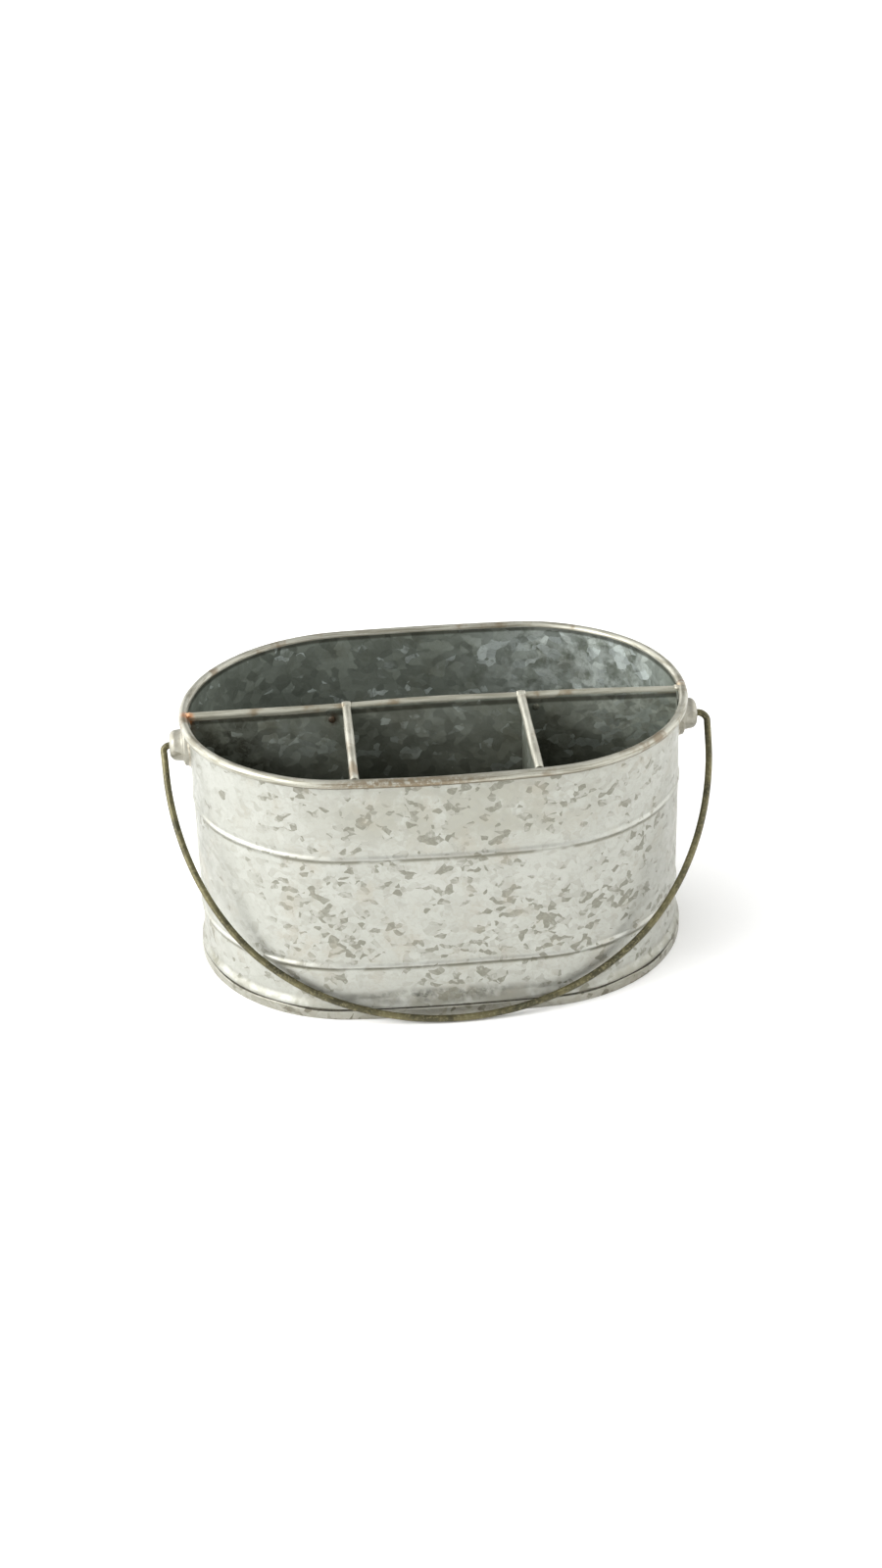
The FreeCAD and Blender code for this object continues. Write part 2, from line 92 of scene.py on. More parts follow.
front_low, front_high = box_mm("front_wall")
pan_high = box_mm("floor_pan")[1]
long_low, long_high = box_mm("long_divider")
cross_low = box_mm("right_cross_divider")[0]
bail_low, bail_high = box_mm("bail_wire")
cup_low, cup_high = box_mm("right_ear_cup")
plate_low, plate_high = box_mm("right_ear_plate")

HALF_LENGTH = front_high[0] - CURL_OUT - BEAD
HALF_WIDTH = -front_low[1] - CURL_OUT - BEAD
CURL_UP = front_high[2] - BEAD
PIVOT = Vector(frame["joints"][0]["pos_m"]) / MM
HEM_OUT = pan_high[0] - HALF_LENGTH
DIVIDER_BASE = long_low[2]
DIVIDER_TOP = long_high[2]
SPACING = cross_low[0] + CROSS_ROLL
INSET = GAUGE + CLEARANCE
LONG_ROLL_LINE = SETBACK + SKIN - CLEARANCE - LONG_ROLL
HEAD_START = cup_high[0] - CUP_SHEET - HEAD_GAP - HEAD_LENGTH

END_CENTRE = HALF_LENGTH - END_RADIUS
SIDE_CENTRE = (END_CENTRE ** 2 - (HALF_WIDTH - END_RADIUS) ** 2) / (2 * (HALF_WIDTH - END_RADIUS))
SIDE_RADIUS = SIDE_CENTRE + HALF_WIDTH
END_TURN = math.acos(END_CENTRE / (SIDE_RADIUS - END_RADIUS))


# --- the oval and its unevenness
def oval_point(turn, out):
    """The point of the oval whose outward normal points at the angle turn, moved outward by out."""
    across, up = math.cos(turn), math.sin(turn)
    folded = math.atan2(abs(up), abs(across))
    if folded < END_TURN:
        centre = math.copysign(END_CENTRE, across)
        return centre + (END_RADIUS + out) * across, (END_RADIUS + out) * up
    centre = -math.copysign(SIDE_CENTRE, up)
    return (SIDE_RADIUS + out) * across, centre + (SIDE_RADIUS + out) * up


def oval_turns(start, end, step=2.6):
    """Normal angles between start and end (radians), evenly spaced along the wall."""
    turns = [start]
    while turns[-1] < end - 1e-9:
        turn = turns[-1]
        folded = math.atan2(abs(math.sin(turn + 1e-6)), abs(math.cos(turn + 1e-6)))
        radius = END_RADIUS if folded < END_TURN else SIDE_RADIUS
        turns.append(min(end, turn + step / radius))
    if len(turns) > 2 and turns[-1] - turns[-2] < 1e-4:
        turns.pop(-2)
    return turns


def unit(value):
    """The value, kept between 0 and 1."""
    return min(1.0, max(0.0, value))


def bump(distance, width):
    """A smooth hump: one at the middle, nothing beyond width."""
    share = min(1.0, abs(distance) / width)
    return (1 - share * share) ** 2


# how fast each wave runs along, deep and tall, where it starts, and its height
WAVES = [
    (0.034, 0.011, 0.021, 0.3, 0.24),
    (-0.021, 0.043, 0.034, 1.7, 0.20),
    (0.067, -0.052, 0.029, 4.1, 0.13),
    (0.103, 0.087, -0.058, 2.2, 0.07),
    (-0.151, 0.061, 0.091, 5.0, 0.04),
]
# along, deep, tall, reach and depth of each shallow dent
DENTS = [
    (-78, -98, 74, 26, -0.75),
    (24, -98, 58, 34, -0.55),
    (96, -84, 84, 24, -0.6),
    (-118, -66, 120, 22, -0.5),
    (60, -98, 128, 20, 0.35),
    (-30, 98, 70, 30, -0.6),
    (88, 88, 60, 26, -0.6),
    (132, 50, 96, 24, -0.5),
]


def unevenness(x, y, z):
    """How far hand-worked sheet stands off its true place here; nothing at the ears."""
    offset = 0.0
    for along, deep, tall, phase, height in WAVES:
        offset += height * math.sin(along * x + deep * y + tall * z + phase)
    for dent_x, dent_y, dent_z, reach, depth in DENTS:
        away = math.dist((x, y, z), (dent_x, dent_y, dent_z))
        offset += depth * bump(away, reach)
    to_ear = math.dist((abs(x), y, z), (150, 0, PIVOT.z))
    steady = unit((to_ear - 14) / 30)
    foot = min(1.0, max(0.15, z / 30))
    return offset * steady * foot


def wall_place(turn, out, up):
    """A point of the tub's skin in metres, with the sheet's unevenness."""
    x, y = oval_point(turn, 0)
    shift = unevenness(x, y, up)
    x, y = oval_point(turn, out + shift)
    sag = 0.25 * math.sin(2 * turn + 0.6) + 0.15 * math.sin(5 * turn)
    near_top = unit((up - 120) / 40)
    to_ear = min(1.0, abs(y) / 30)
    return Vector((x, y, up + sag * near_top * to_ear)) * MM


# --- mesh helpers
def new_object(name, vertices, faces, slots, indices=None):
    """A smooth-shaded mesh object with its material slots."""
    mesh = bpy.data.meshes.new(name)
    mesh.from_pydata([tuple(vertex) for vertex in vertices], [], faces)
    for material in slots:
        mesh.materials.append(material)
    if indices:
        mesh.polygons.foreach_set("material_index", indices)
    mesh.polygons.foreach_set("use_smooth", [True] * len(mesh.polygons))
    mesh.validate()
    mesh.update()
    piece = bpy.data.objects.new(name, mesh)
    bpy.context.scene.collection.objects.link(piece)
    return piece


def sharpen(piece, degrees):
    """Smooth shading that keeps real folds crisp."""
    mesh = piece.data
    limit = math.radians(degrees)
    faces_of = {}
    for polygon in mesh.polygons:
        for key in polygon.edge_keys:
            faces_of.setdefault(key, []).append(polygon.normal.copy())
    for edge in mesh.edges:
        normals = faces_of.get(edge.key, [])
        edge.use_edge_sharp = len(normals) == 2 and normals[0].angle(normals[1], 0) > limit


def sheet_piece(name, rows, count, slots, slot_of=lambda column: 0, closed=False):
    """Sheet metal: every row holds one side's count of points then the other side's; rows are joined."""
    width = 2 * count
    vertices = [point for row in rows for point in row]
    faces, indices = [], []
    for row in range(len(rows) if closed else len(rows) - 1):
        here, there = row * width, ((row + 1) % len(rows)) * width
        for column in range(width):
            following = (column + 1) % width
            faces.append((here + column, there + column, there + following, here + following))
            indices.append(slot_of(column))
    if not closed:
        for base in (0, (len(rows) - 1) * width):
            for column in range(count - 1):
                opposite = base + width - 1 - column
                cap = (base + column, base + column + 1, opposite - 1, opposite)
                faces.append(cap[::-1] if base else cap)
                indices.append(slot_of(column))
    return new_object(name, vertices, faces, slots, indices)


def ring_faces(rings, around):
    """Faces between neighbouring rings of points, each ring closed on itself."""
    faces = []
    for ring in range(rings - 1):
        for step in range(around):
            near, far = ring * around + step, ring * around + (step + 1) % around
            faces.append((near, far, far + around, near + around))
    return faces


def end_faces(rings, around):
    """Flat faces over the first and the last ring."""
    last = (rings - 1) * around
    return [tuple(range(around))[::-1], tuple(range(last, last + around))]


def lathe(name, profile, place, slots, segments):
    """Turns (along, radius) points about an axis; place maps (along, radius, angle) to metres."""
    vertices = []
    for along, radius in profile:
        for step in range(segments):
            vertices.append(place(along, radius, 2 * math.pi * step / segments))
    faces = ring_faces(len(profile), segments)
    if profile[0] != profile[-1]:
        faces += end_faces(len(profile), segments)
    return new_object(name, vertices, faces, slots)


def select_only(pieces):
    """Selects these objects and makes the first one active."""
    bpy.ops.object.select_all(action="DESELECT")
    for piece in pieces:
        piece.select_set(True)
    bpy.context.view_layer.objects.active = pieces[0]


def join(name, pieces):
    """Joins mesh pieces into one object."""
    select_only(pieces)
    bpy.ops.object.join()
    pieces[0].name = name
    pieces[0].data.name = name
    return pieces[0]


def face_outward(piece):
    """Turns every face of each closed shell to look outward."""
    select_only([piece])
    bpy.ops.object.mode_set(mode="EDIT")
    bpy.ops.mesh.select_all(action="SELECT")
    bpy.ops.mesh.normals_make_consistent(inside=False)
    bpy.ops.object.mode_set(mode="OBJECT")
    return piece


def arc(centre_a, centre_b, radius, start, end, count):
    """Points on an arc from start to end, in degrees."""
    points = []
    for step in range(count + 1):
        angle = math.radians(start + (end - start) * step / count)
        points.append((centre_a + radius * math.cos(angle), centre_b + radius * math.sin(angle)))
    return points


def neighbours(points, index):
    """The points before and after this one; at an end, the point itself stands in."""
    return points[max(0, index - 1)], points[min(len(points) - 1, index + 1)]


def thickened(path, thickness):
    """The same path moved sideways (to the right of its direction) by the sheet's thickness."""
    moved = []
    for index, (across, up) in enumerate(path):
        before, after = neighbours(path, index)
        step_a, step_b = after[0] - before[0], after[1] - before[1]
        length = math.hypot(step_a, step_b)
        moved.append((across + step_b / length * thickness, up - step_a / length * thickness))
    return moved


# --- materials
class Graph:
    """A short way to write the nodes of a material, or of the world."""

    def __init__(self, owner, shader="Principled BSDF"):
        owner.use_nodes = True
        self.owner = owner
        self.tree = owner.node_tree
        self.shader = self.tree.nodes[shader]

    def node(self, kind, inputs=None, **settings):
        """A new node with its settings, its inputs linked or set."""
        made = self.tree.nodes.new(kind)
        for key, value in settings.items():
            setattr(made, key, value)
        for key, value in (inputs or {}).items():
            self.feed(made.inputs[key], value)
        return made

    def feed(self, socket, value):
        """Links a socket to another socket, or sets it to a plain value."""
        if isinstance(value, bpy.types.NodeSocket):
            self.tree.links.new(value, socket)
        else:
            socket.default_value = value

    def math(self, operation, first, second=0.0):
        return self.node("ShaderNodeMath", {0: first, 1: second}, operation=operation).outputs[0]

    def plus(self, first, second):
        return self.math("ADD", first, second)

    def less(self, first, second):
        return self.math("SUBTRACT", first, second)

    def times(self, first, second):
        return self.math("MULTIPLY", first, second)

    def vector(self, operation, first, second=(0, 0, 0)):
        return self.node("ShaderNodeVectorMath", {0: first, 1: second}, operation=operation).outputs[0]

    def scaled(self, vector, factor):
        return self.node("ShaderNodeVectorMath", {0: vector, "Scale": factor}, operation="SCALE").outputs[0]

    def millimetres(self):
        """Where a point is on the bucket, in millimetres."""
        return self.scaled(self.node("ShaderNodeTexCoord").outputs["Object"], 1 / MM)

    def noise(self, coordinates, scale, detail=2.0, rough=0.5, output="Fac"):
        inputs = {"Vector": coordinates, "Scale": scale, "Detail": detail, "Roughness": rough}
        return self.node("ShaderNodeTexNoise", inputs).outputs[output]

    def cells(self, coordinates, scale):
        """A random colour for each cell of a mosaic."""
        return self.node("ShaderNodeTexVoronoi", {"Vector": coordinates, "Scale": scale}).outputs["Color"]

    def part(self, vector, index):
        """One of a vector's (or colour's) three parts."""
        return self.node("ShaderNodeSeparateXYZ", {0: vector}).outputs[index]

    def step(self, value, low, high):
        """A smooth step from nothing at low to one at high."""
        inputs = {"Value": value, "From Min": low, "From Max": high, "To Min": 0.0, "To Max": 1.0}
        made = self.node("ShaderNodeMapRange", inputs, interpolation_type="SMOOTHSTEP")
        return made.outputs["Result"]

    def band(self, value, middle, inner, outer):
        """One where a value is within inner of the middle, nothing past outer."""
        away = self.math("ABSOLUTE", self.less(value, middle))
        return self.less(1.0, self.step(away, inner, outer))

    def mix(self, factor, first, second):
        inputs = {"Factor": factor, 6: first, 7: second}
        return self.node("ShaderNodeMix", inputs, data_type="RGBA").outputs[2]

    def lay(self, colour, tint, mask, strength):
        """Lays a tint over a colour where the mask is one, as strongly as strength says."""
        return self.mix(self.times(mask, strength), colour, tint)

    def finish(self, colour, metallic, roughness, height, distance, normal=None):
        """Sets the shader's colour, metal, roughness and bump (distance is its height in metres)."""
        self.shader.inputs["Metallic"].default_value = metallic
        self.feed(self.shader.inputs["Base Color"], colour)
        self.feed(self.shader.inputs["Roughness"], roughness)
        inputs = {"Height": height, "Distance": distance, "Strength": 1.0}
        if normal is not None:
            inputs["Normal"] = normal
        made = self.node("ShaderNodeBump", inputs)
        self.feed(self.shader.inputs["Normal"], made.outputs["Normal"])
        return self.owner


def rgb(red, green, blue):
    """A colour given as it is seen on screen, 0 to 255."""
    linear = []
    for value in (red, green, blue):
        share = value / 255
        linear.append(share / 12.92 if share <= 0.04045 else ((share + 0.055) / 1.055) ** 2.4)
    return (*linear, 1.0)


MID_TONE = (0.5, 0.5, 0.5)
HAZE_GRAIN = 0.08
ZINC_ROUGH = 0.36
# the colour of the painted shade line under the inner curl and under the long divider's roll
CREASE_SHADE = rgb(52, 52, 40)
# the colour of the painted shade on the underside of the curl and the rolls
UNDER_RIM_SHADE = rgb(88, 78, 60)


def crystal_tones(graph, place, size):
    """Random tones of zinc crystals: a coarse and a fine mosaic, and feathering inside each crystal."""
    warp = graph.vector("SUBTRACT", graph.noise(place, 0.11, 1.5, 0.5, "Color"), MID_TONE)
    warp = graph.scaled(warp, 7.0)
    bent = graph.vector("MULTIPLY", graph.vector("ADD", place, warp), (1.0, 1.0, 1.3))
    coarse = graph.cells(bent, 0.085 / size)
    fine = graph.cells(bent, 0.23 / size)
    axis = graph.vector("SUBTRACT", fine, MID_TONE)
    angle = graph.times(graph.part(fine, 1), 6.283)
    inputs = {"Vector": place, "Axis": axis, "Angle": angle}
    turned = graph.node("ShaderNodeVectorRotate", inputs).outputs[0]
    feather = graph.noise(graph.vector("MULTIPLY", turned, (0.09, 0.36, 0.36)), 1.0, 3.0, 0.55)
    hairs = graph.noise(graph.vector("MULTIPLY", turned, (0.3, 1.9, 1.9)), 1.0, 2.0)
    return coarse, fine, feather, hairs


def near_spot(graph, place, centre, reach):
    """One at a spot on the bucket, fading out at its reach in each direction."""
    away = graph.vector("DIVIDE", graph.vector("SUBTRACT", place, centre), reach)
    length = graph.node("ShaderNodeVectorMath", {0: away}, operation="LENGTH").outputs["Value"]
    return graph.less(1.0, graph.step(length, 0.35, 1.0))


def add_stains(graph, place, colour, stains, grain=0.35):
    """Lays stains (centre, reach, colour, strength) over a colour, broken up by noise."""
    broken = graph.step(graph.noise(place, grain, 4.0, 0.6), 0.34, 0.55)
    for centre, reach, tint, strength in stains:
        mask = graph.times(near_spot(graph, place, centre, reach), broken)
        colour = graph.lay(colour, tint, mask, strength)
    return colour


def add_dirt_and_shade_by_height(graph, place, colour, tint):
    """Dirt and painted shade in patches under each rib and in the hollow above the foot, and a line of
    painted shade under the curl.
    """
    height = graph.part(place, 2)
    patchy = graph.step(graph.noise(place, 0.05, 3.0, 0.6), 0.34, 0.56)
    # Dirt and painted shade: a dark line in patches just under each rib.
    for rib in RIBS:
        line = graph.band(height, rib - 1.6, 0.5, 2.2)
        colour = graph.lay(colour, tint, graph.times(line, patchy), 0.75)
    # Painted shade: a dark line along the wall just under the curl.
    lip = graph.less(1.0, graph.step(graph.less(CURL_UP - 2.4, height), 0.4, 3.0))
    colour = graph.lay(colour, tint, lip, 0.7)
    # Dirt and painted shade: darker in patches in the hollow above the foot.
    hollow = graph.less(1.0, graph.step(height, 8.0, 17.0))
    return graph.lay(colour, tint, graph.times(hollow, patchy), 0.55)


def spangled_zinc(name, base, soft, flake, stain, sparse=0.74, metallic=0.6, tilt=0.08, size=1.0,
                  stains=(), haze=(), dirt_and_shade=None, depth=None, crease=None, crowded=()):
    """Hot-dip zinc: a soft mosaic of greys with angular flakes, more or fewer at the crowded spots.

    Dirt and painted shade lie by height, depth is the colour of painted shade that darkens the lower part,
    and crease is the height of a dark line of painted shade."""
    graph = Graph(bpy.data.materials.new(name))
    place = graph.millimetres()
    coarse, fine, feather, hairs = crystal_tones(graph, place, size)
    broad = graph.noise(place, 0.016)
    worn = graph.noise(place, 0.05, 5.0, 0.62)
    level = graph.times(graph.part(fine, 0), 0.55)
    level = graph.plus(level, graph.times(graph.part(coarse, 0), 0.2))
    level = graph.plus(level, graph.times(feather, 0.3))
    level = graph.plus(level, graph.times(graph.less(broad, 0.5), 0.45))
    for centre, reach, amount in crowded:
        level = graph.plus(level, graph.times(near_spot(graph, place, centre, reach), amount))
    above = graph.less(level, sparse)
    colour = graph.lay(base, soft, graph.part(coarse, 1), 0.35)
    colour = add_stains(graph, place, colour, haze, HAZE_GRAIN)
    colour = graph.lay(colour, soft, graph.step(above, -0.22, -0.02), 0.6)
    colour = graph.lay(colour, flake, graph.step(above, -0.01, 0.07), 0.9)
    colour = graph.lay(colour, soft, graph.step(feather, 0.48, 0.66), 0.4)
    colour = graph.lay(colour, soft, graph.step(hairs, 0.45, 0.75), 0.3)
    colour = graph.lay(colour, stain, graph.step(worn, 0.5, 0.72), 0.45)
    if dirt_and_shade:
        colour = add_dirt_and_shade_by_height(graph, place, colour, dirt_and_shade)
    # Painted shade: darker towards the bottom, below a height broken up by the wear noise.
    if depth:
        shade_level = graph.plus(graph.part(place, 2), graph.times(worn, 60.0))
        colour = graph.lay(colour, depth, graph.less(1.0, graph.step(shade_level, 100.0, 186.0)), 0.9)
    # Painted shade: a dark line at the crease height, under the inner edge of the curl or under the long
    # divider's roll.
    if crease:
        line = graph.band(graph.part(place, 2), crease, 0.8, 2.4)
        colour = graph.lay(colour, CREASE_SHADE, line, 0.75)
    colour = add_stains(graph, place, colour, stains)

    tone = graph.times(graph.less(graph.part(fine, 2), 0.5), 0.14)
    roughness = graph.plus(graph.plus(tone, ZINC_ROUGH), graph.times(worn, 0.12))
    lean = graph.scaled(graph.vector("SUBTRACT", fine, MID_TONE), tilt)
    normal = graph.node("ShaderNodeNewGeometry").outputs["Normal"]
    normal = graph.vector("NORMALIZE", graph.vector("ADD", normal, lean))
    graph.shader.inputs["Specular IOR Level"].default_value = 0.3
    height = graph.plus(graph.times(feather, 0.6), graph.times(worn, 0.8))
    return graph.finish(colour, metallic, roughness, height, 0.06 * MM, normal)


def rim_zinc(name, light, dark, brown, stains=()):
    """Handled zinc on a rolled edge: rubbed bright in streaks, brown where the zinc has gone, and painted
    shade along its underside.
    """
    graph = Graph(bpy.data.materials.new(name))
    place = graph.millimetres()
    streaks = graph.noise(graph.vector("MULTIPLY", place, (0.035, 0.06, 0.9)), 1.0, 4.0, 0.6)
    patches = graph.noise(place, 0.045, 4.0, 0.6)
    specks = graph.noise(place, 0.7, 3.0, 0.6)
    colour = graph.lay(light, dark, graph.step(streaks, 0.42, 0.64), 0.8)
    colour = graph.lay(colour, brown, graph.step(patches, 0.55, 0.68), 0.8)
    colour = graph.lay(colour, dark, graph.step(specks, 0.56, 0.7), 0.3)
    # Painted shade: darker below a height just under the curl's centre, on the underside of the curl and
    # the rolls.
    under = graph.less(1.0, graph.step(graph.part(place, 2), CURL_UP - 2.1, CURL_UP - 0.7))
    colour = graph.lay(colour, UNDER_RIM_SHADE, under, 0.85)
    colour = add_stains(graph, place, colour, stains)
    roughness = graph.plus(graph.times(patches, 0.25), 0.26)
    height = graph.plus(graph.times(specks, 0.5), streaks)
    return graph.finish(colour, 0.6, roughness, height, 0.08 * MM)


def dark_wire(name):
    """Oiled iron wire: olive brown over black, rubbed lighter in specks."""
    graph = Graph(bpy.data.materials.new(name))
    place = graph.millimetres()
    patches = graph.noise(place, 0.05, 5.0, 0.6)
    specks = graph.noise(place, 0.55, 4.0, 0.62)
    colour = graph.mix(graph.step(patches, 0.4, 0.62), rgb(97, 92, 64), rgb(61, 58, 40))
    colour = graph.lay(colour, rgb(134, 128, 98), graph.step(specks, 0.5, 0.66), 0.5)
    colour = graph.lay(colour, rgb(70, 73, 55), graph.step(patches, 0.62, 0.7), 0.6)
    roughness = graph.plus(graph.times(specks, 0.3), 0.26)
    return graph.finish(colour, 0.55, roughness, specks, 0.10 * MM)


def mottled_metal(name, base, second, metallic=0.6, rough=0.4, scale=0.35, relief=0.08):
    """Small fixings, solder and dirt: two tones in patches over a slightly lumpy surface."""
    graph = Graph(bpy.data.materials.new(name))
    place = graph.millimetres()
    patches = graph.noise(place, scale, 5.0, 0.65)
    fine = graph.noise(place, 1.6, 3.0, 0.6)
    colour = graph.mix(graph.step(patches, 0.42, 0.62), base, second)
    colour = graph.lay(colour, second, graph.step(fine, 0.5, 0.7), 0.3)
    roughness = graph.plus(graph.times(fine, 0.3), rough)
    return graph.finish(colour, metallic, roughness, patches, relief * MM)


def floor_paint(name):
    """Matt white paint, very faintly clouded."""
    graph = Graph(bpy.data.materials.new(name))
    cloud = graph.noise(graph.millimetres(), 0.004, 3.0)
    colour = graph.mix(cloud, rgb(251, 251, 250), rgb(247, 247, 246))
    return graph.finish(colour, 0.0, 0.8, cloud, 0.02 * MM)


# Each stain is its centre, its reach each way, its colour and its strength.
LEFT_RUST = ((-147, -4, 160), (5.5, 6.5, 6.0), rgb(186, 122, 70), 0.85)
LEFT_RUN = ((-146, -8, 152), (6.0, 5.0, 13.0), rgb(120, 78, 40), 0.8)
RIGHT_RUST = ((150, 0.5, 161), (5.0, 1.3, 4.0), rgb(104, 66, 52), 0.9)
RIGHT_HALO = ((148, -3, 160), (5.0, 5.0, 5.0), rgb(196, 172, 136), 0.6)
RIVET_HALO = ((-61, -5, 153), (6.0, 4.0, 6.0), rgb(70, 52, 34), 0.7)

# Each crowded spot is its centre, its reach each way, and how many more flakes it has (or fewer).
# LIT_HAZE, DIVIDER_HAZE and FOOT_DIRT_AND_SHADE stand in for light and shade that the soft lamp doesn't make.
FRONT_FLAKES = [((10, -100, 134), (120, 40, 38), 0.09), ((60, -95, 60), (90, 40, 60), 0.03),
                ((-125, -60, 90), (60, 60, 110), -0.08)]
FRONT_HAZE = ((10, -100, 138), (120, 40, 34), rgb(144, 143, 130), 0.65)
# Dirt and painted shade: a dark band in the hollow above the foot, just inside the bail's lowest stretch.
FOOT_DIRT_AND_SHADE = ((-8, -104, 14), (100, 14, 7.5), rgb(58, 57, 47), 1.0)
# Painted shade: greyer zinc at both ends of the tub, dimming the side lights' sheen there.
END_PAINTED_SHADE = [((-150, -15, 85), (26, 55, 110), rgb(137, 138, 130), 0.75),
              ((150, -15, 85), (20, 50, 110), rgb(148, 147, 136), 0.7)]
# Painted light: more, brighter flakes and a pale haze on the rear right inside, where light would fall.
LIT_FLAKES = [((95, 85, 140), (85, 70, 75), 0.10)]
LIT_HAZE = ((108, 78, 142), (110, 80, 75), rgb(198, 206, 200), 0.85)
# Painted light and shade on the long divider: brighter flakes and pale hazes where light would fall near
# its top, dark hazes in the shaded compartments.
DIVIDER_LIT_FLAKES = [((-82, -6, 138), (34, 20, 26), 0.12), ((0, -6, 140), (50, 20, 24), 0.07),
                  ((112, -6, 135), (40, 20, 34), 0.14)]
DIVIDER_HAZE = [((122, -6, 146), (48, 14, 26), rgb(190, 196, 185), 0.85),
                ((72, -6, 120), (26, 14, 34), rgb(76, 76, 62), 0.7),
                ((-122, -6, 128), (40, 14, 46), rgb(62, 61, 50), 0.9),
                ((-84, -6, 140), (30, 14, 22), rgb(150, 156, 148), 0.7),
                ((10, -6, 146), (50, 14, 18), rgb(140, 146, 138), 0.6)]
FRONT_BROWN = ((-30, -104, 160), (75, 10, 6), rgb(112, 98, 76), 0.85)

OUTSIDE = spangled_zinc("zinc_outside", rgb(171, 172, 165), rgb(152, 152, 143), rgb(116, 115, 103),
                        rgb(157, 152, 138), dirt_and_shade=rgb(104, 102, 87), crowded=FRONT_FLAKES,
                        haze=[FRONT_HAZE, FOOT_DIRT_AND_SHADE] + END_PAINTED_SHADE)
INSIDE = spangled_zinc("zinc_inside", rgb(118, 124, 114), rgb(136, 143, 134), rgb(202, 211, 207),
                       rgb(93, 93, 78), sparse=0.76, tilt=0.2, metallic=0.55, size=1.5, haze=(LIT_HAZE,),
                       stains=(LEFT_RUST, LEFT_RUN), crowded=LIT_FLAKES, crease=CURL_UP - 0.8)
DIVIDER = spangled_zinc("zinc_divider", rgb(118, 122, 111), rgb(134, 138, 128), rgb(172, 179, 172),
                        rgb(84, 81, 64), sparse=0.78, tilt=0.2, metallic=0.5, depth=rgb(58, 58, 44),
                        crowded=DIVIDER_LIT_FLAKES, size=1.3, haze=DIVIDER_HAZE,
                        stains=(LEFT_RUST, LEFT_RUN, RIVET_HALO), crease=DIVIDER_TOP - 2 * LONG_ROLL - 0.4)
RIM = rim_zinc("zinc_rim", rgb(164, 163, 151), rgb(114, 110, 94), rgb(112, 98, 78),
               stains=(FRONT_BROWN, LEFT_RUST, RIGHT_HALO, RIGHT_RUST))
ROLL = rim_zinc("zinc_roll", rgb(173, 172, 158), rgb(136, 134, 118), rgb(126, 112, 89),
                stains=(LEFT_RUST, RIGHT_HALO))
CROSS_EDGE = rim_zinc("zinc_cross_roll", rgb(184, 183, 170), rgb(146, 144, 130), rgb(138, 124, 102))
HEM = spangled_zinc("zinc_hem", rgb(156, 155, 145), rgb(134, 132, 120), rgb(101, 97, 84),
                    rgb(114, 107, 88), tilt=0.06)
EAR = spangled_zinc("zinc_ear", rgb(156, 154, 143), rgb(138, 135, 122), rgb(110, 106, 92),
                    rgb(122, 116, 99), tilt=0.04)
WIRE = dark_wire("bail_iron")
RUSTY_RIVET = mottled_metal("rivet_iron", rgb(66, 58, 48), rgb(84, 66, 46))
CLEAN_RIVET = mottled_metal("rivet_zinc", rgb(104, 106, 94), rgb(84, 84, 70), 0.5)
CORE = mottled_metal("core_iron", rgb(110, 106, 98), rgb(96, 74, 52))
SOLDER = mottled_metal("tin_solder", rgb(172, 168, 154), rgb(134, 127, 110), 0.6, 0.34, 0.3, 0.25)
RUST = mottled_metal("rust_bloom", rgb(186, 148, 112), rgb(170, 104, 58), 0.1, 0.6)
GRIME = mottled_metal("foot_grime", rgb(66, 64, 54), rgb(92, 88, 74), 0.2, 0.6)


# --- the two wall shells
def wall_section():
    """Matching points of the wall's two faces, as (out, up), from the foot to the curl's lip."""
    outer = [(1.45, 0.9), (1.45, 3.5), (1.45, 6.4), (1.5, 6.85), (1.8, 7.0), (2.15, 7.1), (2.35, 7.4)]
    inner = [(0.9, 0.9), (0.9, 3.5), (0.9, 6.4), (0.92, 7.0), (1.02, 7.5), (1.2, 7.8), (1.35, 8.0)]
    for step in range(1, FLARE_STEPS + 1):
        rise = step / FLARE_STEPS
        ease = rise * rise * (3 - 2 * rise)
        out = FLARE * (1 - ease) ** 1.25
        outer.append((out, 7.6 + 6.0 * rise))
        inner.append((out - GAUGE - 0.3 * (1 - rise), 7.95 + 5.65 * rise))
    level = 14.5
    while level < CURL_UP - 1.2:
        near = min(abs(level - rib) for rib in RIBS)
        out = sum(RIB_DEPTH * bump(level - rib, RIB_HALF_WIDTH) for rib in RIBS)
        out -= sum(RIB_VALLEY * bump(abs(level - rib) - 2.6, 1.5) for rib in RIBS)
        outer.append((out, level))
        inner.append((out - GAUGE, level))
        level += 0.3 if near < 3.2 else (0.9 if near < 6 else 3.4)
    outer += arc(CURL_OUT, CURL_UP, BEAD - GAUGE, 180, -138, CURL_STEPS)
    inner += arc(CURL_OUT, CURL_UP, BEAD, 180, -138, CURL_STEPS)
    return outer, inner


def wall_shell(name, start, end):
    """One half of the tub's wall: outside, curl, inside and the leg that stands in the hem."""
    outer, inner = wall_section()
    section = outer + inner[::-1]
    rows = [[wall_place(turn, out, up) for out, up in section] for turn in oval_turns(start, end)]
    count = len(outer)

    def slot_of(column):
        if count - CURL_STEPS - 1 <= column < count + CURL_STEPS:
            return 1
        if column < LEG_POINTS:
            return 3
        return 0 if column < count else 2

    return face_outward(sheet_piece(name, rows, count, [OUTSIDE, RIM, INSIDE, GRIME], slot_of))


SEAM_LINE = 0.0006
SEAM_HALF = 3.2
SEAM_SECTION = [(-1, 0.02), (-0.5, 0.0), (0, 0.0), (0.5, 0.0), (1, 0.02),
                (1, 0.55), (0.86, 0.95), (0, 1.05), (-0.86, 0.95), (-1, 0.55)]


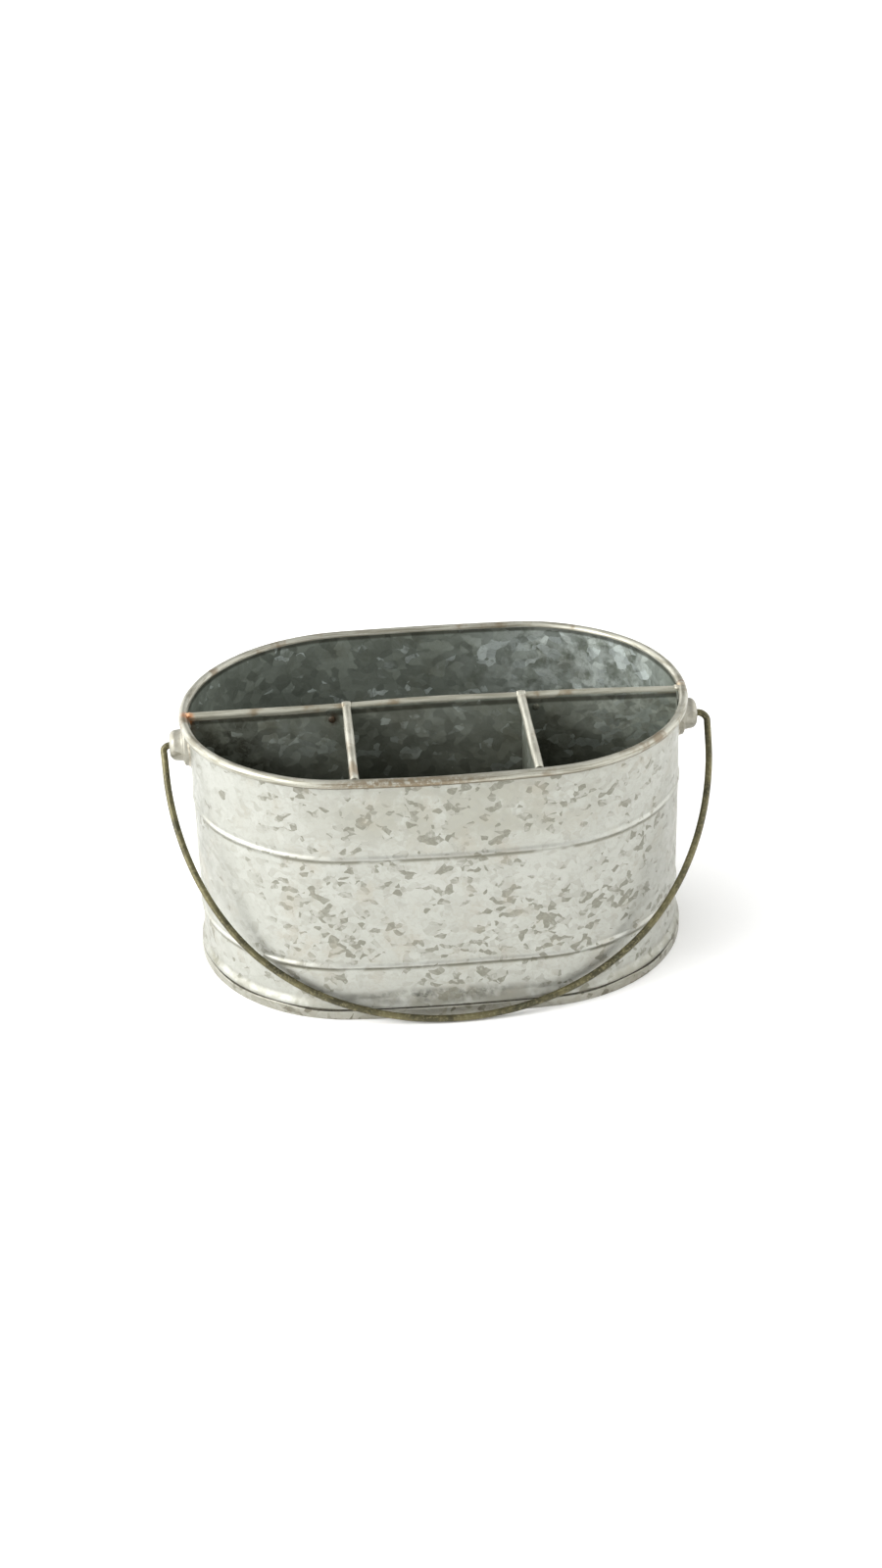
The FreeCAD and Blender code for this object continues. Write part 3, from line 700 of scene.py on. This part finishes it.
def seam_fold(middle):
    """The flattened lock seam inside one end of the tub."""
    rows = []
    for step in range(41):
        level = 12 + 142 * step / 40
        rows.append([wall_place(middle + share * SEAM_HALF / END_RADIUS, -GAUGE - 0.03 - depth, level)
                     for share, depth in SEAM_SECTION])
    return face_outward(sheet_piece("seam_fold", rows, len(SEAM_SECTION) // 2, [INSIDE]))


def make_walls():
    front = wall_shell("front_shell", math.pi + SEAM_LINE, 2 * math.pi - SEAM_LINE)
    rear = wall_shell("rear_shell", SEAM_LINE, math.pi - SEAM_LINE)
    rear = join("rear_shell", [rear, seam_fold(0), seam_fold(math.pi)])
    for shell, node in ((front, "front_wall"), (rear, "rear_wall")):
        sharpen(shell, 50)
        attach(shell, "bucket")
        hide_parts(node)


# --- floor pan with its hem
def hem_section():
    """The standing fold under the wall, outside face then inside face, as (out, up)."""
    outside = [(0.2, 5.55), (0.2, 3.0), (0.2, 0.9)] + arc(0.85, 0.65, 0.65, 180, 270, 6)
    outside += arc(1.9, 0.75, 0.75, 270, 360, 8) + [(HEM_DRAWN, 2.2), (HEM_DRAWN, 4.0)]
    outside += arc(2.05, 5.4, 0.6, 0, 100, 8)
    inside = [(0.75, 5.55), (0.75, 3.0), (0.75, 1.2)] + arc(1.15, 0.95, 0.4, 180, 270, 6)
    inside += arc(1.2, 0.95, 0.4, 270, 360, 8) + [(1.6, 2.2), (1.6, 4.0)]
    inside += arc(1.75, 5.65, 0.15, 180, 100, 8)
    stretch = HEM_OUT / HEM_DRAWN
    return [(out * stretch, up) for out, up in outside], [(out * stretch, up) for out, up in inside]


def hem_place(turn, out, up):
    """A point of the hem in metres; its free edge waves a little."""
    wave = 0.16 * math.sin(7 * turn + 1.0) + 0.10 * math.sin(17 * turn + 2.0) if up > 1.0 else 0
    lift = 0.3 * max(0.0, up - 4.5) * math.sin(11 * turn)
    x, y = oval_point(turn, out + (wave if out > 1.5 else 0))
    return Vector((x, y, up + lift)) * MM


def floor_plate(turns):
    """The floor sheet, drawn up a little in the middle, with both its faces and its edge."""
    shares = [0.12 * ring for ring in range(1, 9)] + [1.0]
    around = len(turns)
    side_size = 1 + around * len(shares)
    vertices, faces = [], []
    for up in (FLOOR_TOP, FLOOR_TOP - GAUGE):
        vertices.append(Vector((0, 0, up + FLOOR_CROWN)) * MM)
        for share in shares:
            for turn in turns:
                x, y = oval_point(turn, 0.5)
                rise = FLOOR_CROWN * (1 - share * share)
                rise += FLOOR_WAVE * math.sin(0.05 * x) * math.sin(0.06 * y) * (1 - share)
                vertices.append(Vector((x * share, y * share, up + rise)) * MM)
    edge = 1 + (len(shares) - 1) * around
    for step in range(around):
        following = (step + 1) % around
        for base in (0, side_size):
            faces.append((base, base + 1 + step, base + 1 + following))
            for ring in range(len(shares) - 1):
                near = base + 1 + ring * around
                far = near + around
                faces.append((near + step, far + step, far + following, near + following))
        faces.append((edge + step, edge + following, edge + side_size + following, edge + side_size + step))
    return face_outward(new_object("plate", vertices, faces, [HEM, INSIDE], [1] * len(faces)))


def make_floor():
    outside, inside = hem_section()
    turns = oval_turns(0, 2 * math.pi)[:-1]
    rows = [[hem_place(turn, out, up) for out, up in outside + inside[::-1]] for turn in turns]
    hem = sheet_piece("hem", rows, len(outside), [HEM, INSIDE], closed=True)
    pan = join("floor_and_hem", [face_outward(hem), floor_plate(turns)])
    sharpen(pan, 50)
    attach(pan, "bucket")
    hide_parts("floor_pan")


# --- dividers
def inside_end(back):
    """The wall's inner face at an end, at a distance forward or back of the long axis."""
    return END_CENTRE + math.sqrt((END_RADIUS - INSET) ** 2 - back ** 2)


def inside_front(across):
    """The front wall's inner face at a distance across from the middle."""
    across = abs(across)
    if across > SIDE_RADIUS * math.cos(END_TURN):
        return math.sqrt((END_RADIUS - INSET) ** 2 - (across - END_CENTRE) ** 2)
    return math.sqrt((SIDE_RADIUS - INSET) ** 2 - across ** 2) - SIDE_CENTRE


def partition_bow(across, height):
    """How far back of its true line the long divider stands: hand-fitted sheet is bowed at the top."""
    share = across / HALF_LENGTH
    rise = unit((height - DIVIDER_BASE) / (DIVIDER_TOP - DIVIDER_BASE))
    return (4.0 * bump(share - 0.12, 0.95) - 0.9 - 1.5 * share) * rise


def cross_lean(side, forward):
    """How far to the right a cross divider's top stands; forward runs from 0 at its rear end to 1."""
    return 1.0 + 0.6 * forward if side < 0 else 0.5 * forward - 0.5


def rounded_route(corners, radius, spacing):
    """A route through corners, each turned on a small arc, with points no further apart than spacing."""
    points = [Vector(corners[0])]
    for before, corner, after in zip(corners, corners[1:], corners[2:]):
        corner = Vector(corner)
        start = corner + (Vector(before) - corner).normalized() * radius
        end = corner + (Vector(after) - corner).normalized() * radius
        for step in range(7):
            share = step / 6
            points.append((1 - share) ** 2 * start + 2 * share * (1 - share) * corner + share ** 2 * end)
    points.append(Vector(corners[-1]))
    spaced = [points[0]]
    for point in points[1:]:
        start = spaced[-1]
        pieces = max(1, math.ceil((point - start).length / spacing))
        spaced += [start.lerp(point, (step + 1) / pieces) for step in range(pieces)]
    return spaced


def plan_normals(route):
    """The direction across the route at each of its points, in plan."""
    normals = []
    for index in range(len(route)):
        before, after = neighbours(route, index)
        along = (after - before).normalized()
        normals.append(Vector((-along.y, along.x)))
    return normals


def divider_web(name, route, top, settle):
    """Upright sheet that follows a route in plan; settle moves each point to where it really stands."""
    levels = [DIVIDER_BASE + (top - DIVIDER_BASE) * step / 24 for step in range(25)]
    rows = []
    for point, normal in zip(route, plan_normals(route)):
        row = []
        for half, order in ((-0.5, levels), (0.5, levels[::-1])):
            spot = point + normal * half * DIVIDER_GAUGE
            row += [settle(spot.x, spot.y, level) * MM for level in order]
        rows.append(row)
    return face_outward(sheet_piece(name, rows, len(levels), [DIVIDER]))


def rolled_edge(spots, radii, path, material):
    """A sheet edge rolled over along its spots (top of the roll); path is its section for radius one."""
    rows = []
    for index, (spot, radius) in enumerate(zip(spots, radii)):
        before, after = neighbours(spots, index)
        along = after - before
        side = Vector((-along.y, along.x, 0)).normalized()
        sized = [(out * radius, up * radius) for out, up in path]
        section = sized + thickened(sized, DIVIDER_GAUGE)[::-1]
        rows.append([(spot + side * out + Vector((0, 0, up - radius))) * MM for out, up in section])
    return face_outward(sheet_piece("roll", rows, len(path), [material]))


def finish_divider(name, node, pieces):
    divider = join(name, pieces)
    sharpen(divider, 50)
    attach(divider, "bucket")
    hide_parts(node)


def settle_long(x, y, z):
    """Where a point of the long divider stands: bowed in the middle, its flanges against the wall."""
    moved = y + partition_bow(x, z) + 0.12 * math.sin(0.09 * x + 0.05 * z)
    at_wall = bump(HALF_LENGTH - abs(x), 22)
    side = 1 if x > 0 else -1
    hug = inside_end(moved) - inside_end(y) + unevenness(side * HALF_LENGTH, y, z) - 0.1
    return Vector((x + side * hug * at_wall, moved, z))


def make_long_divider():
    tip = SETBACK - SKIN + FLANGE
    half = [(inside_end(SETBACK) - SKIN, -SETBACK), (inside_end(tip) - SKIN, -tip)]
    corners = [(-x, y) for x, y in half[::-1]] + half
    route = rounded_route(corners, FLANGE_BEND, 5)
    web = divider_web("web", route, DIVIDER_TOP - LONG_ROLL, settle_long)
    reach = inside_end(SETBACK + SKIN)
    spots, radii = [], []
    for step in range(101):
        x = -reach + 2 * reach * step / 100
        rise = 0.22 * math.sin(0.061 * x + 2.0) + 0.3 * bump(x + reach, 90)
        spots.append(Vector((x, partition_bow(x, DIVIDER_TOP) - LONG_ROLL_LINE, DIVIDER_TOP + rise)))
        radii.append(LONG_ROLL + 0.35 * bump(x + reach, 110) + 0.07 * math.sin(0.13 * x))
    path = [(-0.985, -0.6), (-0.99, -0.3)] + arc(0, 0, 1, 180, -150, 30)
    finish_divider("long_partition", "long_divider", [web, rolled_edge(spots, radii, path, ROLL)])


LAP_POINTS = 20


def roll_lap(side):
    """The flattened end of a cross divider's roll, hooked over the long divider's roll."""
    x = side * SPACING + cross_lean(side, 0)
    centre_y = partition_bow(x, DIVIDER_TOP) - LONG_ROLL_LINE
    rows = []
    for step in range(17):
        angle = math.radians(205 - 185 * step / 16)
        ends = math.sin(math.pi * step / 16) ** 0.5
        row = []
        for turn in range(LAP_POINTS):
            around = 2 * math.pi * turn / LAP_POINTS
            reach = LONG_ROLL + 0.2 + 0.6 * max(0.0, math.sin(around)) * ends
            across = (CROSS_ROLL - 0.25 + 0.35 * ends) * math.cos(around)
            y = centre_y + reach * math.cos(angle)
            z = DIVIDER_TOP - LONG_ROLL + reach * math.sin(angle)
            row.append(Vector((x + across, y, z)) * MM)
        rows.append(row)
    return face_outward(sheet_piece("lap", rows, LAP_POINTS // 2, [CROSS_EDGE]))


def make_cross_divider(name, node, side):
    rear = SETBACK + SKIN + CLEARANCE + SKIN
    tip = SPACING - SKIN + FLANGE
    length = inside_front(SPACING) - rear

    def settle(x, y, z):
        forward = unit((-y - rear) / length)
        rise = (z - DIVIDER_BASE) / (DIVIDER_TOP - DIVIDER_BASE)
        wave = 0.35 * math.sin(math.pi * forward) * math.sin(math.pi * rise)
        back = partition_bow(x, z) * (1 - forward) - unevenness(x, -HALF_WIDTH, z) * forward ** 3
        return Vector((x + cross_lean(side, forward) * rise + wave, y + back, z))

    corners = [
        (side * tip, -rear),
        (side * SPACING, -rear),
        (side * SPACING, SKIN - inside_front(SPACING)),
        (side * tip, SKIN - inside_front(tip)),
    ]
    route = rounded_route(corners, FLANGE_BEND, 4)
    web = divider_web("web", route, DIVIDER_TOP - 2 * CROSS_ROLL + 0.9, settle)
    spots, radii = [], []
    end = inside_front(SPACING + CROSS_ROLL)
    for step in range(41):
        forward = step / 40
        y = -rear + SKIN - (end - rear + SKIN) * forward
        spot = settle(side * SPACING, y, DIVIDER_TOP)
        spots.append(spot + Vector((0, 0, 0.15 * math.sin(7 * forward + side))))
        radii.append(CROSS_ROLL + 0.1 * math.sin(9 * forward + 2 * side))
    path = [(-0.12, -1.2), (-0.16, -1.08), (-0.45, -0.92), (-0.78, -0.68), (-0.96, -0.32)]
    path += arc(0, 0, 1, 180, -120, 30)
    finish_divider(name, node, [web, rolled_edge(spots, radii, path, CROSS_EDGE), roll_lap(side)])


# --- rivets, ears and solder
def rivet_place(across, height):
    """Places a turned rivet through the dividers, standing out to the front."""
    def place(along, radius, angle):
        y = partition_bow(across, height) - along
        return Vector((across + radius * math.cos(angle), y, height + radius * math.sin(angle))) * MM

    return place


def make_rivets(name, node, material):
    """Dome-headed rivets, one pair to each cross divider."""
    low, high = box_mm(node)
    head = 0.5 * (high[0] - low[0])
    shank = 1.2
    back = SETBACK - SKIN
    face = back + 2 * DIVIDER_GAUGE + CLEARANCE
    tail = [(-0.75, 0.0001), (-0.8, 1.0), (-0.65, 1.6), (-0.3, 1.9), (0, 1.85), (0, shank)]
    profile = [(back + along, radius) for along, radius in tail] + [(face, shank), (face, head)]
    for step in range(1, 9):
        angle = math.pi / 2 * step / 8
        profile.append((face + math.sin(angle), max(0.0001, head * math.cos(angle))))
    pieces = []
    for height in (low[2] + head, high[2] - head):
        place = rivet_place(0.5 * (low[0] + high[0]), height)
        pieces.append(face_outward(lathe("rivet", profile, place, [material], 28)))
    pair = join(name, pieces)
    sharpen(pair, 45)
    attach(pair, "bucket")
    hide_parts(node)


def ear_place(side, on_wall=False):
    """Places a turned profile on an end of the tub, its foot cut to the wall or bent along it."""
    def place(along, radius, angle):
        y = radius * math.cos(angle)
        z = PIVOT.z + radius * math.sin(angle)
        wall = END_CENTRE + math.sqrt((END_RADIUS + 0.03) ** 2 - y ** 2)
        follow = on_wall or along < 0.05
        x = wall + along if follow else max(HALF_LENGTH + along, wall + 0.02)
        return Vector((side * x, side * y, z)) * MM

    return place


def rounded_corner(along, radius, size, steps=10):
    """A turned profile's rounded corner, from its side (at radius) round to its face (at along)."""
    corner = arc(radius - size, along - size, size, 0, 90, steps)
    return [(forward, out) for out, forward in corner]


def ear_piece(name, profile, place, material, node=None):
    """A closed turned piece of an ear, which may stand for a CAD node."""
    piece = face_outward(lathe(name, profile + profile[:1], place, [material], 72))
    sharpen(piece, 50)
    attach(piece, "bucket")
    if node:
        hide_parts(node)


def make_ear(side, side_name):
    """One ear: a pressed dish soldered to the wall, and a domed cup that the bail turns in."""
    top = plate_high[0] - HALF_LENGTH
    radius = 0.5 * (plate_high[2] - plate_low[2])
    dish = [(0.0, radius), (1.0, radius - 0.05)] + rounded_corner(top, radius - 0.15, 1.5)
    dish += [(top - 0.02, radius - 2.6), (top - 0.05, 6.0), (top - 0.05, 0.001)]
    dish += [(top - 0.8, 0.001), (top - 0.8, radius - 2.6), (top - 1.4, radius - 1.4),
             (1.0, radius - 0.85), (0.0, radius - 0.8)]
    ear_piece(side_name + "_ear_dish", dish, ear_place(side), EAR, side_name + "_ear_plate")

    base, face = cup_low[0] - HALF_LENGTH, cup_high[0] - HALF_LENGTH
    foot = 0.5 * (cup_high[2] - cup_low[2])
    crown, corner, inner = foot - 0.9, 4.0, face - CUP_SHEET
    dome = [(base, foot), (base + 0.3, foot), (base + 0.7, foot - 0.3), (base + 1.4, foot - 0.5)]
    dome += rounded_corner(face, crown, corner, 14)
    dome += [(face + 0.02, EAR_HOLE + 1.6), (face - 0.04, EAR_HOLE + 0.8), (face - 0.2, EAR_HOLE + 0.25),
             (face - 0.5, EAR_HOLE), (inner, EAR_HOLE), (inner, crown - corner)]
    dome += [(face - corner, crown - CUP_SHEET), (base + 1.4, foot - 0.6 - CUP_SHEET),
             (base, foot - CUP_SHEET)]
    ear_piece(side_name + "_ear_dome", dome, ear_place(side), EAR, side_name + "_ear_cup")

    bead = [(0.02, radius + 1.5), (0.1, radius + 1.1), (0.35, radius + 0.55), (0.8, radius + 0.2),
            (1.1, radius - 0.02), (0.6, radius - 0.1), (0.02, radius - 0.1)]

    def lumpy(along, reach, angle):
        swell = 1 + 0.3 * math.sin(3 * angle + side) + 0.2 * math.sin(7 * angle)
        grown = radius + (reach - radius) * (swell if reach > radius else 1)
        return ear_place(side, True)(along * (swell if along > 0.5 else 1), grown, angle)

    ear_piece(side_name + "_ear_solder", bead, lumpy, SOLDER)


def end_tack(side, material):
    """A lump of solder where the long divider's roll meets the rim."""
    x = side * (inside_end(SETBACK) - 0.4)
    y = partition_bow(x, DIVIDER_TOP) - LONG_ROLL_LINE - 0.4
    centre = Vector((x, y, DIVIDER_TOP - 0.9))
    vertices = []
    rings, around = 10, 20
    for ring in range(rings + 1):
        tall = math.pi * ring / rings
        for step in range(around):
            angle = 2 * math.pi * step / around
            lump = 1 + 0.18 * math.sin(3 * angle + side) * math.sin(2 * tall)
            flat = math.sin(tall)
            wide, deep = 1.9 * flat * math.cos(angle), 2.7 * flat * math.sin(angle)
            shape = Vector((wide, deep, 1.15 * math.cos(tall)))
            vertices.append((centre + shape * lump) * MM)
    return new_object("tack", vertices, ring_faces(rings + 1, around), [material])


def make_tacks():
    tacks = join("divider_end_tacks", [end_tack(-1, RUST), end_tack(1, SOLDER)])
    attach(tacks, "bucket")


# --- bail
def bail_route():
    """The wire's centre line in its own plane, as (across, down from the pivot), left to right."""
    width = bail_high[0] - BAIL_WIRE
    across_gap, radius_gap = width - SIDE_ARC, BOTTOM_ARC - SIDE_ARC
    straight = DROP - BOTTOM_ARC + math.sqrt(radius_gap ** 2 - across_gap ** 2)
    turn = math.degrees(math.acos(across_gap / radius_gap))
    half = [(HEAD_START, 0.0), (width - ELBOW - 1.5, 0.0)]
    half += [(width - ELBOW + out, ELBOW - up) for out, up in arc(0, 0, ELBOW, 90, 0, 10)]
    half += [(width, ELBOW + (straight - ELBOW) * share / 4) for share in (1, 2, 3)]
    half += arc(across_gap, straight, SIDE_ARC, 0, turn, 60)
    half += arc(0, DROP - BOTTOM_ARC, BOTTOM_ARC, turn, 90, 30)[1:]
    return [(-across, down) for across, down in half] + half[-2::-1]


def bail_bend(across, fall):
    """How far to the right the hand-bent wire stands from its true line: slid over, legs bowed in."""
    slid = 0.45 + 0.95 * min(1.0, fall / ELBOW)
    bow = math.sin(math.pi * min(1.0, fall / 130))
    return slid + (2.2 * bow if across < 0 else -1.3 * bow)


def make_bail():
    """The bent wire and the two upset heads that the ears hold."""
    lean = math.acos((PIVOT.z - bail_low[2] - BAIL_WIRE) / DROP)
    down = Vector((0, -math.sin(lean), -math.cos(lean)))
    off_plane = Vector((1, 0, 0)).cross(down)
    spots = []
    for across, fall in bail_route():
        free = unit((fall - 12) / 40)
        sway = -0.25 * (1 + math.sin(0.013 * across + 1.0)) * free
        start = Vector((across + bail_bend(across, fall), 0, PIVOT.z))
        spots.append(start + down * fall + off_plane * sway)
    around = 24
    vertices = []
    for index, spot in enumerate(spots):
        before, after = neighbours(spots, index)
        along = (after - before).normalized()
        other = along.cross(off_plane).normalized()
        for step in range(around):
            angle = 2 * math.pi * step / around
            outward = off_plane * math.cos(angle) + other * math.sin(angle)
            vertices.append((spot + outward * BAIL_WIRE) * MM)
    faces = ring_faces(len(spots), around) + end_faces(len(spots), around)
    pieces = [face_outward(new_object("wire", vertices, faces, [WIRE]))]
    button = [(0.0, 0.001), (0.0, 3.0), (0.25, 3.45), (0.7, 3.6), (1.3, 3.4), (1.7, 2.7),
              (HEAD_LENGTH, 1.9), (HEAD_LENGTH, 0.001)]
    for side, spot in ((-1, spots[0]), (1, spots[-1])):

        def place(along, reach, angle, side=side, spot=spot):
            return (spot + Vector((side * along, reach * math.cos(angle), reach * math.sin(angle)))) * MM

        pieces.append(face_outward(lathe("button", button, place, [WIRE], 32)))
    bail = join("bail_handle", pieces)
    sharpen(bail, 45)
    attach(bail, "bail")
    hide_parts("bail_wire")


# --- stage, light and camera
def make_stage():
    """A plain pale floor, wide enough to fill the picture."""
    half, near, far = 9.0, -3.0, 14.0
    vertices = [Vector((x, y, 0)) for x in (-half, 0, half) for y in (near, 0, far)]
    faces = [(0, 3, 4, 1), (1, 4, 5, 2), (3, 6, 7, 4), (4, 7, 8, 5)]
    new_object("studio_floor", vertices, faces, [floor_paint("studio_white")])


# Each side light is the X at which it is brightest and its brightness there.
SIDE_LIGHTS = ((-1.0, 4.5), (1.0, 2.6))
FILL_LIGHT = 0.1
KEY_SPOT = Vector((-1.9, -0.85, 1.55))
KEY_TARGET = Vector((0, 0, 0.1))
KEY_POWER = 28
CAMERA_SPOT = Vector((-76.05, -1264.02, 799.91))
CAMERA_AIM = Vector((0.0546, 0.8741, -0.4826))
CAMERA_ROLL = -1.93
CAMERA_LENS = 54.31


def make_world():
    """A soft studio: a broad bright side to the left and a dimmer one to the right."""
    world = bpy.data.worlds.new("studio")
    graph = Graph(world, "Background")
    across = graph.part(graph.node("ShaderNodeTexCoord").outputs["Generated"], 0)
    strength = FILL_LIGHT
    for reach, peak in SIDE_LIGHTS:
        inputs = {"Value": across, "From Max": reach, "To Max": peak}
        side = graph.node("ShaderNodeMapRange", inputs).outputs["Result"]
        strength = graph.plus(strength, side)
    graph.feed(graph.shader.inputs["Strength"], strength)
    graph.shader.inputs["Color"].default_value = (1.0, 1.0, 1.0, 1.0)
    bpy.context.scene.world = world


def make_key_light():
    """One gentle round lamp, high at the left front."""
    data = bpy.data.lights.new("key", "AREA")
    data.shape = "DISK"
    data.size = 1.0
    data.energy = KEY_POWER
    light = bpy.data.objects.new("key", data)
    light.location = KEY_SPOT
    light.rotation_euler = (KEY_TARGET - KEY_SPOT).to_track_quat("-Z", "Y").to_euler()
    bpy.context.scene.collection.objects.link(light)


def make_camera():
    """The camera stands in front, a little to the left, and looks down about 29 degrees."""
    data = bpy.data.cameras.new("camera")
    data.sensor_width = 36
    data.lens = CAMERA_LENS
    data.clip_start = 0.01
    camera = bpy.data.objects.new("camera", data)
    turn = CAMERA_AIM.to_track_quat("-Z", "Y").to_matrix().to_4x4()
    turn @= Matrix.Rotation(math.radians(CAMERA_ROLL), 4, "Z")
    camera.matrix_world = Matrix.Translation(CAMERA_SPOT * MM) @ turn
    bpy.context.scene.collection.objects.link(camera)
    bpy.context.scene.camera = camera


def dress_core_wire():
    """The rim's core wire stays as it was packed; it shows only through the curl's slit."""
    core = frame["nodes"]["rim_wire"]
    core.data.materials.clear()
    core.data.materials.append(CORE)


make_walls()
make_floor()
make_long_divider()
make_cross_divider("left_partition", "left_cross_divider", -1)
make_cross_divider("right_partition", "right_cross_divider", 1)
make_rivets("left_rivets", "left_divider_rivets", RUSTY_RIVET)
make_rivets("right_rivets", "right_divider_rivets", CLEAN_RIVET)
make_ear(-1, "left")
make_ear(1, "right")
make_tacks()
make_bail()
dress_core_wire()
make_stage()
make_world()
make_key_light()
make_camera()
bpy.context.scene.view_settings.view_transform = "Standard"
